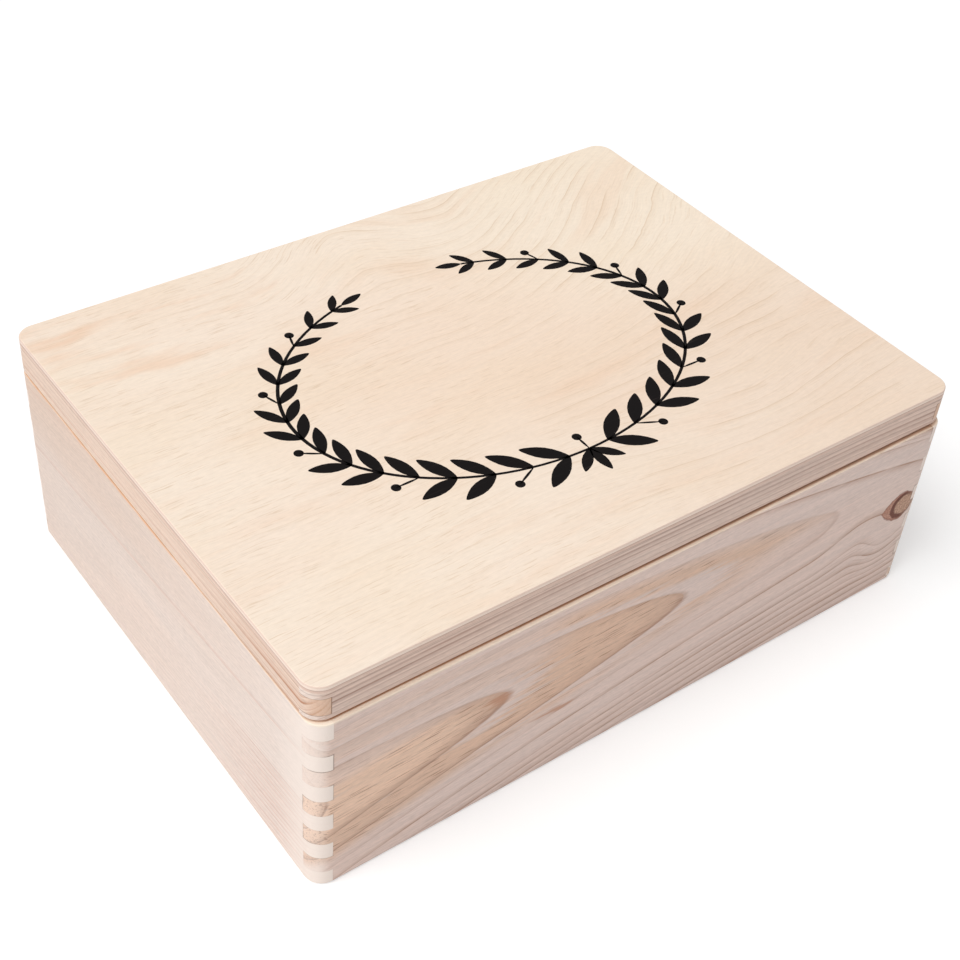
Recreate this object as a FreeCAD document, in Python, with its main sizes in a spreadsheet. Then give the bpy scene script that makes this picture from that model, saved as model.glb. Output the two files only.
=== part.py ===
import FreeCAD, Part
import os
import Sketcher

# Hinged pine box for papers and keepsakes, in millimetres.
# The origin is on the floor under the middle of the box, with +X to the right, +Y to the back and +Z up.
# The boards are finger jointed, and the glued-up body and lid are then rounded as a whole. The two "form"
# bodies are those rounded outsides, and every piece of wood that reaches the outside is trimmed to one.
# The lid is drawn shut: its hinges hold it a small gap above the body's rim.

DRIVING_SIZES = (
    ("box_length", 400, "outside length, left to right"),
    ("box_depth", 300, "outside depth, front to back"),
    ("body_height", 115.5, "floor to rim"),
    ("lid_gap", 1.2, "gap between the rim and the shut lid"),
    ("lid_height", 21.3, "lower edge of the lid to its top"),
    ("board_thickness", 10, "body boards and lid rails"),
    ("corner_radius", 10, "round of the four upright corners"),
    ("finger_count", 11, "fingers in each body corner, both boards together"),
    ("foot_round", 2, "round of the body's lower outside edge"),
    ("rim_round", 0.5, "round of the body's upper outside edge"),
    ("bottom_thickness", 4, "plywood bottom"),
    ("bottom_rise", 6, "height of the bottom's groove above the floor"),
    ("groove_depth", 5, "depth of the bottom's groove in the boards"),
    ("groove_clearance", 0.25, "gap round the bottom's edges in its groove"),
    ("lid_panel_thickness", 4, "plywood lid panel"),
    ("lid_setback", 2, "lid's front edge behind the body's front face"),
    ("lid_rim_round", 0.6, "round of the lid's lower outside edge"),
    ("lid_top_round", 0.8, "round of the lid's upper outside edge"),
    ("tongue_rise", 3, "height of the side rails' tongues above the lid's lower edge"),
    ("tongue_height", 10.5, "height of the side rails' tongues"),
    ("hinge_inset", 2, "hinge axis in from the back face"),
    ("open_angle", 100, "degrees that the lid opens"),
    ("stop_angle", 1, "degrees left between the stop bevels when the lid is open"),
    ("hinge_spread", 240, "middle of one hinge to the middle of the other"),
    ("hinge_length", 32, "length of a hinge along its axis"),
    ("knuckle_count", 5, "knuckles in a hinge, both leaves together"),
    ("knuckle_gap", 0.3, "gap between knuckles, and from a knuckle to what it turns past"),
    ("leaf_thickness", 0.9, "hinge leaf"),
    ("leaf_lip", 1, "wood between a leaf and the inside of the box"),
    ("mortise_clearance", 0.1, "gap between a leaf and the ends of its mortise"),
    ("pin_diameter", 1.8, "hinge pin"),
    ("pin_clearance", 0.05, "radial running clearance of the pin"),
    ("pin_head_diameter", 2.8, "head at each end of the pin"),
    ("pin_head_length", 0.5, "head at each end of the pin"),
    ("screw_spacing", 20, "between the two screws of a leaf"),
    ("screw_length", 8, "head face to tip"),
    ("screw_diameter", 1.6, "shank"),
    ("screw_head_diameter", 2.8, "countersunk head"),
    ("screw_land", 0.3, "leaf left under the countersink"),
    ("screw_tip_length", 2, "pointed end"),
    ("screw_clearance", 0.05, "gap round a screw in its hole"),
    ("slot_width", 0.4, "screwdriver slot"),
    ("slot_depth", 0.3, "screwdriver slot"),
)

# Places and sizes that follow from the driving ones, as expressions on the sheet.
LEFT = "-Sizes.box_length / 2"
RIGHT = "Sizes.box_length / 2"
FRONT = "-Sizes.box_depth / 2"
BACK = "Sizes.box_depth / 2"
INSIDE_LEFT = "Sizes.board_thickness - Sizes.box_length / 2"
INSIDE_RIGHT = "Sizes.box_length / 2 - Sizes.board_thickness"
INSIDE_FRONT = "Sizes.board_thickness - Sizes.box_depth / 2"
INSIDE_BACK = "Sizes.box_depth / 2 - Sizes.board_thickness"
GROOVE_LEFT = f"{INSIDE_LEFT} - Sizes.groove_depth"
GROOVE_RIGHT = f"{INSIDE_RIGHT} + Sizes.groove_depth"
GROOVE_FRONT = f"{INSIDE_FRONT} - Sizes.groove_depth"
GROOVE_BACK = f"{INSIDE_BACK} + Sizes.groove_depth"
LID_FRONT = "Sizes.lid_setback - Sizes.box_depth / 2"
LID_INSIDE_FRONT = "Sizes.lid_setback + Sizes.board_thickness - Sizes.box_depth / 2"
FLOOR = "0"
RIM = "Sizes.body_height"
LID_LOW = "Sizes.body_height + Sizes.lid_gap"
HINGE_LEVEL = "Sizes.body_height + Sizes.lid_gap / 2"
RAIL_HEIGHT = "Sizes.lid_height - Sizes.lid_panel_thickness"
RAIL_TOP = f"{LID_LOW} + {RAIL_HEIGHT}"
TONGUE_LOW = f"{LID_LOW} + Sizes.tongue_rise"
TONGUE_TOP = f"{TONGUE_LOW} + Sizes.tongue_height"
ABOVE_TONGUE = f"{RAIL_HEIGHT} - Sizes.tongue_rise - Sizes.tongue_height"
FINGER = "Sizes.body_height / Sizes.finger_count"
AXIS_Y = "Sizes.box_depth / 2 - Sizes.hinge_inset"
BEVEL_RISE = "Sizes.hinge_inset * tan((Sizes.open_angle + Sizes.stop_angle) / 2)"
BORE_RADIUS = "Sizes.pin_diameter / 2 + Sizes.pin_clearance"
KNUCKLE_RADIUS = f"{BORE_RADIUS} + Sizes.leaf_thickness"
RECESS_RADIUS = f"{KNUCKLE_RADIUS} + Sizes.knuckle_gap"
RECESS_HALF = "Sizes.hinge_length / 2 + Sizes.pin_head_length + Sizes.knuckle_gap"
RECESS_FRONT = f"{AXIS_Y} - ({RECESS_RADIUS})"
LEAF_FRONT = f"{INSIDE_BACK} + Sizes.leaf_lip"
SCREW_Y = f"({LEAF_FRONT} + {RECESS_FRONT}) / 2"
SCREW_RADIUS = "Sizes.screw_diameter / 2"
SCREW_HEAD_RADIUS = "Sizes.screw_head_diameter / 2"
SCREW_HOLE_RADIUS = "Sizes.screw_diameter / 2 + Sizes.screw_clearance"
SCREW_HEAD_HEIGHT = "Sizes.leaf_thickness - Sizes.screw_land"

HINGE_SIDES = {"left": -1, "right": 1}
SCREW_SIDES = (-1, 1)
SAME_LEVEL = 1e-6

doc = FreeCAD.newDocument("hinged_pine_box")
sheet = doc.addObject("Spreadsheet::Sheet", "Sizes")
nodes = []


def fill_sheet():
    """Write the driving sizes: name, value and note in one row each."""
    for row, (alias, number, note) in enumerate(DRIVING_SIZES, start=1):
        sheet.set(f"A{row}", alias)
        sheet.set(f"B{row}", str(number))
        sheet.setAlias(f"B{row}", alias)
        sheet.set(f"C{row}", note)
    doc.recompute()


def value(expression):
    """The number that an expression on the sheet stands for now."""
    return float(sheet.evalExpression(expression))


def bind(feature, **expressions):
    """Tie properties to the sheet. A double underscore in a name stands for a dot."""
    for name, expression in expressions.items():
        feature.setExpression(name.replace("__", "."), expression)
    return feature


def keep(feature, label):
    """Name a finished piece, which is written out under that name."""
    feature.Label = label
    nodes.append(feature)
    return feature


def origin_part(body, role):
    """The plane or axis of a body's own origin that has the given role."""
    return next(part for part in body.Origin.OriginFeatures if part.Role == role)


def new_body(name):
    return doc.addObject("PartDesign::Body", name)


def level_sketch(body, name, height):
    """An empty sketch on a level plane at the given height."""
    sketch = body.newObject("Sketcher::SketchObject", name)
    sketch.AttachmentSupport = [(origin_part(body, "XY_Plane"), "")]
    sketch.MapMode = "FlatFace"
    return bind(sketch, AttachmentOffset__Base__z=height)


def upright_sketch(body, name, role):
    """An empty sketch on one of the body's upright origin planes."""
    sketch = body.newObject("Sketcher::SketchObject", name)
    sketch.AttachmentSupport = [(origin_part(body, role), "")]
    sketch.MapMode = "FlatFace"
    return sketch


def pin_point(sketch, line, end, across, along):
    """Hold one end of a line at the place that two expressions give."""
    for kind, expression in (("DistanceX", across), ("DistanceY", along)):
        constraint = Sketcher.Constraint(kind, -1, 1, line, end, value(expression))
        index = sketch.addConstraint(constraint)
        sketch.setExpression(f"Constraints[{index}]", expression)


def draw_outline(sketch, points):
    """Draw a closed outline of straight lines through points given as pairs of expressions."""
    places = [FreeCAD.Vector(value(across), value(along), 0) for across, along in points]
    first = len(sketch.Geometry)
    count = len(places)
    for index in range(count):
        sketch.addGeometry(Part.LineSegment(places[index], places[(index + 1) % count]), False)
    for index in range(count):
        following = first + (index + 1) % count
        sketch.addConstraint(Sketcher.Constraint("Coincident", first + index, 2, following, 1))
    for index, (across, along) in enumerate(points):
        pin_point(sketch, first + index, 1, across, along)
    return sketch


def draw_rectangle(sketch, left, right, low, high):
    return draw_outline(sketch, [(left, low), (right, low), (right, high), (left, high)])


def draw_circle(sketch, across, along, radius):
    centre = FreeCAD.Vector(value(across), value(along), 0)
    index = sketch.addGeometry(Part.Circle(centre, FreeCAD.Vector(0, 0, 1), value(radius)), False)
    pin_point(sketch, index, 3, across, along)
    constraint = sketch.addConstraint(Sketcher.Constraint("Radius", index, value(radius)))
    sketch.setExpression(f"Constraints[{constraint}]", radius)
    return sketch


def pad(body, sketch, height):
    feature = body.newObject("PartDesign::Pad", f"{sketch.Name}_pad")
    feature.Profile = sketch
    return bind(feature, Length=height)


def pocket(body, sketch, depth, upwards=False):
    """Cut a sketch into the body, and make sure that it took wood away."""
    doc.recompute()
    before = body.Shape.Volume
    feature = body.newObject("PartDesign::Pocket", f"{sketch.Name}_cut")
    feature.Profile = sketch
    feature.Reversed = upwards
    bind(feature, Length=depth)
    doc.recompute()
    if feature.Shape.Volume >= before:
        raise RuntimeError(f"{feature.Name} cuts nothing")
    return feature


def rounded(body, feature, radius, is_wanted):
    """Round the edges of a feature that pass a test."""
    doc.recompute()
    names = [f"Edge{index}" for index, edge in enumerate(feature.Shape.Edges, start=1) if is_wanted(edge)]
    fillet = body.newObject("PartDesign::Fillet", f"{feature.Name}_round")
    fillet.Base = (feature, names)
    return bind(fillet, Radius=radius)


def is_upright(edge):
    return abs(edge.Vertexes[0].Z - edge.Vertexes[-1].Z) > SAME_LEVEL


def lies_at(height):
    """A test for edges that lie wholly at one height."""
    level = value(height)
    return lambda edge: all(abs(vertex.Z - level) < SAME_LEVEL for vertex in edge.Vertexes)


def rounded_form(name, front, low, height, low_round, high_round, bevel_end):
    """The rounded outside of the body or the lid, with the stop bevel along its back edge by the hinges."""
    body = new_body(name)
    outline = draw_rectangle(level_sketch(body, f"{name}_outline", low), LEFT, RIGHT, front, BACK)
    block = pad(body, outline, height)
    corners = rounded(body, block, "Sizes.corner_radius", is_upright)
    lower = rounded(body, corners, low_round, lies_at(low))
    rounded(body, lower, high_round, lies_at(f"{low} + {height}"))
    wedge = upright_sketch(body, f"{name}_bevel", "YZ_Plane")
    beyond_back = f"{BACK} + Sizes.hinge_inset"
    draw_outline(wedge, [(AXIS_Y, HINGE_LEVEL), (beyond_back, HINGE_LEVEL), (BACK, bevel_end)])
    cut = body.newObject("PartDesign::Pocket", f"{name}_bevel_cut")
    cut.Profile = wedge
    cut.Type = "ThroughAll"
    cut.SideType = "Symmetric"
    doc.recompute()
    return body


def trimmed(blank, form, label):
    """A board with its outside rounded to the form that it belongs to."""
    piece = doc.addObject("Part::Common", label)
    piece.Base = blank
    piece.Tool = form
    return keep(piece, label)


def stacked(body, feature, count):
    """Repeat a finger notch upwards, leaving one finger between each two notches."""
    pattern = body.newObject("PartDesign::LinearPattern", f"{feature.Name}_row")
    pattern.Originals = [feature]
    pattern.Direction = (origin_part(body, "Z_Axis"), [""])
    bind(pattern, Length=f"2 * {FINGER} * ({count} - 1)", Occurrences=count)
    body.Tip = pattern
    doc.recompute()
    return pattern


def long_board(name, low, high, groove_low, groove_high):
    """Front or back board: it gives up the lowest finger, and every second one above it, to the sides."""
    body = new_body(f"{name}_blank")
    pad(body, draw_rectangle(level_sketch(body, f"{name}_face", FLOOR), LEFT, RIGHT, low, high), RIM)
    notches = level_sketch(body, f"{name}_notches", FLOOR)
    draw_rectangle(notches, LEFT, INSIDE_LEFT, low, high)
    draw_rectangle(notches, INSIDE_RIGHT, RIGHT, low, high)
    stacked(body, pocket(body, notches, FINGER, upwards=True), "ceil(Sizes.finger_count / 2)")
    groove = level_sketch(body, f"{name}_groove", "Sizes.bottom_rise")
    draw_rectangle(groove, INSIDE_LEFT, INSIDE_RIGHT, groove_low, groove_high)
    pocket(body, groove, "Sizes.bottom_thickness", upwards=True)
    return body


def side_board(name, left, right, groove_left, groove_right):
    """Left or right board: its lowest finger reaches the front and the back."""
    body = new_body(f"{name}_blank")
    pad(body, draw_rectangle(level_sketch(body, f"{name}_face", FLOOR), left, right, FRONT, BACK), RIM)
    notches = level_sketch(body, f"{name}_notches", FINGER)
    draw_rectangle(notches, left, right, FRONT, INSIDE_FRONT)
    draw_rectangle(notches, left, right, INSIDE_BACK, BACK)
    stacked(body, pocket(body, notches, FINGER, upwards=True), "floor(Sizes.finger_count / 2)")
    groove = level_sketch(body, f"{name}_groove", "Sizes.bottom_rise")
    draw_rectangle(groove, groove_left, groove_right, GROOVE_FRONT, GROOVE_BACK)
    pocket(body, groove, "Sizes.bottom_thickness", upwards=True)
    return body


def hinge_seats(body, name, edge, upwards):
    """Mortises, knuckle recesses and screw holes for both hinges, cut half a lid gap less deep."""
    mortises = level_sketch(body, f"{name}_mortises", edge)
    recesses = level_sketch(body, f"{name}_recesses", edge)
    holes = level_sketch(body, f"{name}_screw_holes", edge)
    mortise_half = "Sizes.hinge_length / 2 + Sizes.mortise_clearance"
    mortise_front = f"{LEAF_FRONT} - Sizes.mortise_clearance"
    for side in HINGE_SIDES.values():
        middle = f"{side} * Sizes.hinge_spread / 2"
        draw_rectangle(mortises, f"{middle} - ({mortise_half})", f"{middle} + {mortise_half}",
                       mortise_front, RECESS_FRONT)
        draw_rectangle(recesses, f"{middle} - ({RECESS_HALF})", f"{middle} + {RECESS_HALF}",
                       RECESS_FRONT, f"{BACK} + Sizes.board_thickness")
        for end in SCREW_SIDES:
            draw_circle(holes, f"{middle} + {end} * Sizes.screw_spacing / 2", SCREW_Y, SCREW_HOLE_RADIUS)
    pocket(body, mortises, "Sizes.leaf_thickness - Sizes.lid_gap / 2", upwards)
    pocket(body, recesses, f"{RECESS_RADIUS} - Sizes.lid_gap / 2", upwards)
    pocket(body, holes, "Sizes.screw_length + Sizes.screw_clearance - Sizes.lid_gap / 2", upwards)


def slotted_rail(name, low, high):
    """Lid front or back rail, with a slot at each end for the side rails' tongues."""
    body = new_body(f"{name}_blank")
    edge = draw_rectangle(level_sketch(body, f"{name}_edge", LID_LOW), LEFT, RIGHT, low, high)
    pad(body, edge, RAIL_HEIGHT)
    slots = level_sketch(body, f"{name}_slots", TONGUE_LOW)
    draw_rectangle(slots, LEFT, INSIDE_LEFT, low, high)
    draw_rectangle(slots, INSIDE_RIGHT, RIGHT, low, high)
    pocket(body, slots, "Sizes.tongue_height", upwards=True)
    return body


def tongued_rail(name, left, right):
    """Lid left or right rail, cut away above and below its tongues."""
    body = new_body(f"{name}_blank")
    edge = draw_rectangle(level_sketch(body, f"{name}_edge", LID_LOW), left, right, LID_FRONT, BACK)
    pad(body, edge, RAIL_HEIGHT)
    cuts = (("below", LID_LOW, "Sizes.tongue_rise"), ("above", TONGUE_TOP, ABOVE_TONGUE))
    for place, height, depth in cuts:
        shoulders = level_sketch(body, f"{name}_{place}", height)
        draw_rectangle(shoulders, left, right, LID_FRONT, LID_INSIDE_FRONT)
        draw_rectangle(shoulders, left, right, INSIDE_BACK, BACK)
        pocket(body, shoulders, depth, upwards=True)
    return body


def block(name, x, y, z, length, width, height):
    box = doc.addObject("Part::Box", name)
    bind(box, Length=length, Width=width, Height=height)
    return bind(box, Placement__Base__x=x, Placement__Base__y=y, Placement__Base__z=z)


def rod(name, radius, start, length):
    """A round bar along the hinge axis."""
    bar = doc.addObject("Part::Cylinder", name)
    bar.Placement.Rotation = FreeCAD.Rotation(FreeCAD.Vector(0, 1, 0), 90)
    bind(bar, Radius=radius, Height=length)
    return bind(bar, Placement__Base__x=start, Placement__Base__y=AXIS_Y, Placement__Base__z=HINGE_LEVEL)


def united(name, parts):
    fusion = doc.addObject("Part::MultiFuse", name)
    fusion.Shapes = parts
    return fusion


def less(name, base, tool):
    cut = doc.addObject("Part::Cut", name)
    cut.Base = base
    cut.Tool = tool
    return cut


def screw_hole(name, x, leaf_low, head_down):
    """A countersunk hole through a leaf, with its wide end on the face towards the other leaf."""
    shank = doc.addObject("Part::Cylinder", f"{name}_shank")
    bind(shank, Radius=SCREW_HOLE_RADIUS, Height="Sizes.leaf_thickness", Placement__Base__z=leaf_low)
    sink = doc.addObject("Part::Cone", f"{name}_sink")
    wide = f"{SCREW_HEAD_RADIUS} + Sizes.screw_clearance"
    ends = (wide, SCREW_HOLE_RADIUS) if head_down else (SCREW_HOLE_RADIUS, wide)
    sink_low = HINGE_LEVEL if head_down else f"{HINGE_LEVEL} - ({SCREW_HEAD_HEIGHT})"
    bind(sink, Radius1=ends[0], Radius2=ends[1], Height=SCREW_HEAD_HEIGHT, Placement__Base__z=sink_low)
    for part in (shank, sink):
        bind(part, Placement__Base__x=x, Placement__Base__y=SCREW_Y)
    return [shank, sink]


def hinge_leaf(label, side, on_lid):
    """One leaf: a plate in its mortise, notched round the other leaf's knuckles, with its own bored ones."""
    middle = f"{side} * Sizes.hinge_spread / 2"
    start = f"{middle} - Sizes.hinge_length / 2"
    plate_low = HINGE_LEVEL if on_lid else f"{HINGE_LEVEL} - Sizes.leaf_thickness"
    plate_width = f"{RECESS_FRONT} - ({LEAF_FRONT})"
    parts = [block(f"{label}_plate", start, LEAF_FRONT, plate_low,
                   "Sizes.hinge_length", plate_width, "Sizes.leaf_thickness")]
    pitch = "Sizes.hinge_length / Sizes.knuckle_count"
    knuckle_length = f"{pitch} - Sizes.knuckle_gap"
    for index in range(1 if on_lid else 0, round(value("Sizes.knuckle_count")), 2):
        knuckle_start = f"{start} + {index} * {pitch} + Sizes.knuckle_gap / 2"
        parts.append(block(f"{label}_strap_{index}", knuckle_start, RECESS_FRONT, plate_low,
                           knuckle_length, RECESS_RADIUS, "Sizes.leaf_thickness"))
        parts.append(rod(f"{label}_knuckle_{index}", KNUCKLE_RADIUS, knuckle_start, knuckle_length))
    holes = [rod(f"{label}_bore", BORE_RADIUS, start, "Sizes.hinge_length")]
    for end in SCREW_SIDES:
        x = f"{middle} + {end} * Sizes.screw_spacing / 2"
        holes += screw_hole(f"{label}_hole_{end + 1}", x, plate_low, on_lid)
    keep(less(label, united(f"{label}_solid", parts), united(f"{label}_holes", holes)), label)


def hinge_pin(label, side):
    """The pin of one hinge, with a head at each end."""
    middle = f"{side} * Sizes.hinge_spread / 2"
    start = f"{middle} - Sizes.hinge_length / 2"
    head_radius = "Sizes.pin_head_diameter / 2"
    shaft = rod(f"{label}_shaft", "Sizes.pin_diameter / 2", start, "Sizes.hinge_length")
    near = rod(f"{label}_near_head", head_radius, f"{start} - Sizes.pin_head_length", "Sizes.pin_head_length")
    far = rod(f"{label}_far_head", head_radius, f"{middle} + Sizes.hinge_length / 2", "Sizes.pin_head_length")
    keep(united(label, [shaft, near, far]), label)


def screw_body():
    """One countersunk slotted screw, head up, with the middle of its head's face at the origin."""
    body = new_body("screw")
    profile = upright_sketch(body, "screw_profile", "XZ_Plane")
    shank_end = "Sizes.screw_tip_length - Sizes.screw_length"
    draw_outline(profile, [
        ("0", "0"),
        (SCREW_HEAD_RADIUS, "0"),
        (SCREW_RADIUS, f"-({SCREW_HEAD_HEIGHT})"),
        (SCREW_RADIUS, shank_end),
        ("0", "-Sizes.screw_length"),
    ])
    turned = body.newObject("PartDesign::Revolution", "screw_turned")
    turned.Profile = profile
    turned.ReferenceAxis = (profile, ["V_Axis"])
    slot = level_sketch(body, "screw_slot", FLOOR)
    slot_half = "Sizes.slot_width / 2"
    draw_rectangle(slot, f"-{SCREW_HEAD_RADIUS}", SCREW_HEAD_RADIUS, f"-{slot_half}", slot_half)
    pocket(body, slot, "Sizes.slot_depth")
    return body


def screw_group(label, screw, point_up):
    """The four screws of the two body leaves or of the two lid leaves."""
    copies = []
    for hinge, side in HINGE_SIDES.items():
        for end in SCREW_SIDES:
            copy = doc.addObject("App::Link", f"{label}_{hinge}_{end + 1}")
            copy.LinkedObject = screw
            copy.Placement.Rotation = FreeCAD.Rotation(FreeCAD.Vector(1, 0, 0), 180 if point_up else 0)
            x = f"{side} * Sizes.hinge_spread / 2 + {end} * Sizes.screw_spacing / 2"
            bind(copy, Placement__Base__x=x, Placement__Base__y=SCREW_Y, Placement__Base__z=HINGE_LEVEL)
            copies.append(copy)
    group = doc.addObject("Part::Compound", label)
    group.Links = copies
    keep(group, label)


def build_body():
    form = rounded_form("body_form", FRONT, FLOOR, RIM, "Sizes.foot_round", "Sizes.rim_round",
                        f"{HINGE_LEVEL} - {BEVEL_RISE}")
    front = long_board("front_board", FRONT, INSIDE_FRONT, GROOVE_FRONT, INSIDE_FRONT)
    back = long_board("back_board", INSIDE_BACK, BACK, INSIDE_BACK, GROOVE_BACK)
    hinge_seats(back, "back_board", RIM, upwards=False)
    left = side_board("left_side_board", LEFT, INSIDE_LEFT, GROOVE_LEFT, INSIDE_LEFT)
    right = side_board("right_side_board", INSIDE_RIGHT, RIGHT, INSIDE_RIGHT, GROOVE_RIGHT)
    trimmed(front, form, "front_board")
    trimmed(back, form, "back_board")
    trimmed(left, form, "left_side_board")
    trimmed(right, form, "right_side_board")
    bottom = block("bottom_panel", f"{GROOVE_LEFT} + Sizes.groove_clearance",
                   f"{GROOVE_FRONT} + Sizes.groove_clearance", "Sizes.bottom_rise",
                   f"{GROOVE_RIGHT} - ({GROOVE_LEFT}) - 2 * Sizes.groove_clearance",
                   f"{GROOVE_BACK} - ({GROOVE_FRONT}) - 2 * Sizes.groove_clearance", "Sizes.bottom_thickness")
    keep(bottom, "bottom_panel")


def build_lid():
    form = rounded_form("lid_form", LID_FRONT, LID_LOW, "Sizes.lid_height", "Sizes.lid_rim_round",
                        "Sizes.lid_top_round", f"{HINGE_LEVEL} + {BEVEL_RISE}")
    front = slotted_rail("lid_front_rail", LID_FRONT, LID_INSIDE_FRONT)
    back = slotted_rail("lid_back_rail", INSIDE_BACK, BACK)
    hinge_seats(back, "lid_back_rail", LID_LOW, upwards=True)
    trimmed(front, form, "lid_front_rail")
    trimmed(back, form, "lid_back_rail")
    trimmed(tongued_rail("lid_left_rail", LEFT, INSIDE_LEFT), form, "lid_left_rail")
    trimmed(tongued_rail("lid_right_rail", INSIDE_RIGHT, RIGHT), form, "lid_right_rail")
    panel = block("lid_panel_blank", LEFT, LID_FRONT, RAIL_TOP, "Sizes.box_length",
                  "Sizes.box_depth - Sizes.lid_setback", "Sizes.lid_panel_thickness")
    trimmed(panel, form, "lid_top_panel")


def build_hinges():
    for hinge, side in HINGE_SIDES.items():
        hinge_leaf(f"{hinge}_hinge_body_leaf", side, on_lid=False)
        hinge_leaf(f"{hinge}_hinge_lid_leaf", side, on_lid=True)
        hinge_pin(f"{hinge}_hinge_pin", side)
    screw = screw_body()
    screw_group("hinge_body_screws", screw, point_up=False)
    screw_group("hinge_lid_screws", screw, point_up=True)


def write_nodes():
    """Check every object, then write each finished piece to its own file."""
    doc.recompute()
    for thing in doc.Objects:
        if "Invalid" in thing.State or "Error" in thing.State:
            raise RuntimeError(f"{thing.Name} failed: {thing.State}")
    for node in nodes:
        if node.Shape.isNull() or not node.Shape.isValid():
            raise RuntimeError(f"{node.Label} has no valid shape")
    os.makedirs("parts", exist_ok=True)
    for node in nodes:
        node.Shape.exportStep(f"parts/{node.Label}.step")
        print(f"{node.Label}: {len(node.Shape.Solids)} solids, {node.Shape.Volume / 1000:.3f} cm3")


fill_sheet()
build_body()
build_lid()
build_hinges()
write_nodes()
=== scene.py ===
import math

import bmesh
import bpy
from mathutils import Matrix, Vector


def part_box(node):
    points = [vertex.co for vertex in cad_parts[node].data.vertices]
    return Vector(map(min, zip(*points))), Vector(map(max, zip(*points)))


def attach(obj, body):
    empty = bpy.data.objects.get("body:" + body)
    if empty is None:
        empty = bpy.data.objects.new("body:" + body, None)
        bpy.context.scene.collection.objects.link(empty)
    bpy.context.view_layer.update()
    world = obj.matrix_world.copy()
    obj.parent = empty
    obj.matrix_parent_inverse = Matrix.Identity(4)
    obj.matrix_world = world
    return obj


# A hinged pine box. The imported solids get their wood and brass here, and the lid gets an inked wreath.
# Metres, in the frame of the solids: +X to the right, +Y to the hinged back, +Z up.

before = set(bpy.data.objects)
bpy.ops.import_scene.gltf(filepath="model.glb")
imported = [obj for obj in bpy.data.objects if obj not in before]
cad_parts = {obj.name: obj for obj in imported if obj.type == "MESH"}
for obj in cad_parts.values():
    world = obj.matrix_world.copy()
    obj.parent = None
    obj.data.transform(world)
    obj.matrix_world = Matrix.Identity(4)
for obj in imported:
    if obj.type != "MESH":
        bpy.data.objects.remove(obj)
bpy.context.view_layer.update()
MM = 0.001

# Sizes of the wood, from the boxes of the solids.
SIDE_LOW, SIDE_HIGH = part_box("left_side_board")
FRONT_LOW, FRONT_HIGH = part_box("front_board")
RAIL_LOW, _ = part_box("lid_left_rail")
PANEL_LOW, PANEL_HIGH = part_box("lid_top_panel")
BOTTOM_LOW, BOTTOM_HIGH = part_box("bottom_panel")
BOARD = SIDE_HIGH.x - SIDE_LOW.x
HALF_LENGTH = FRONT_HIGH.x
HALF_DEPTH = -FRONT_LOW.y
RIM = SIDE_HIGH.z
LID_LOW = RAIL_LOW.z

# Sizes that the boxes don't tell, as the part draws them.
CORNER = 10 * MM
FINGER_COUNT = 11
FINGER = RIM / FINGER_COUNT
TONGUE_RISE = 3 * MM
TONGUE_HEIGHT = 10.5 * MM
TONGUE_LOW = LID_LOW + TONGUE_RISE
TONGUE_HIGH = TONGUE_LOW + TONGUE_HEIGHT

# Camera at the photograph's viewing angle.
CAMERA_PLACE = Vector((-0.4295, -0.5268, 0.6448))
CAMERA_HEADING = math.radians(39.26)
CAMERA_DIP = math.radians(41.01)
CAMERA_ROLL = math.radians(-4.94)
CAMERA_LENS = 60.02
CAMERA_SENSOR = 36.0

# Light: a wide sun from the upper left, a lamp at the front left, a dim even sky and the pale floor.
SUN_FROM = Vector((-0.52, 0.02, 0.83))
SUN_STRENGTH = 1.60
SUN_ANGLE = math.radians(35)
LAMP_PLACE = Vector((-0.95, -0.62, 0.60))
LAMP_AIM = Vector((-0.1, -0.05, 0.07))
LAMP_SIZE = 0.6
LAMP_POWER = 1.75
SKY_STRENGTH = 0.5
FLOOR_SIZE = 30.0
FLOOR_BOUNCE = 0.80
FLOOR_SEEN = 0.76
FLOOR_GLOW = 0.33

# Depth of the relief in each finish, and how far a joint's marks reach past its shoulders.
PINE_RELIEF = 0.08 * MM
PLYWOOD_RELIEF = 0.05 * MM
BRASS_RELIEF = 0.02 * MM
JOINT_MARGIN = 0.3 * MM

# Figure of the face veneer: an eye that the lines bow round, a peak at the back and the lines' spacing.
EYE_X, EYE_Y = 0.100, -0.104
EYE_HALF_LENGTH, EYE_HALF_DEPTH = 0.058, 0.024
PEAK_X = -0.005
PEAK_HALF_WIDTH = 0.05
VENEER_LINE_SPACE = 7.5 * MM

# Kinds of socket, a right angle, and a place along a log that no board reaches.
VECTOR = "NodeSocketVector"
NUMBER = "NodeSocketFloat"
COLOUR = "NodeSocketColor"
QUARTER_TURN = math.pi / 2
FAR_OFF = 1.0


def rgb(red, green, blue):
    """A colour written as it shows on a screen, 0 to 255, turned into Blender's linear numbers."""
    shares = [level / 255 for level in (red, green, blue)]
    linear = [s / 12.92 if s <= 0.04045 else ((s + 0.055) / 1.055) ** 2.4 for s in shares]
    return (*linear, 1.0)


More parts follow.
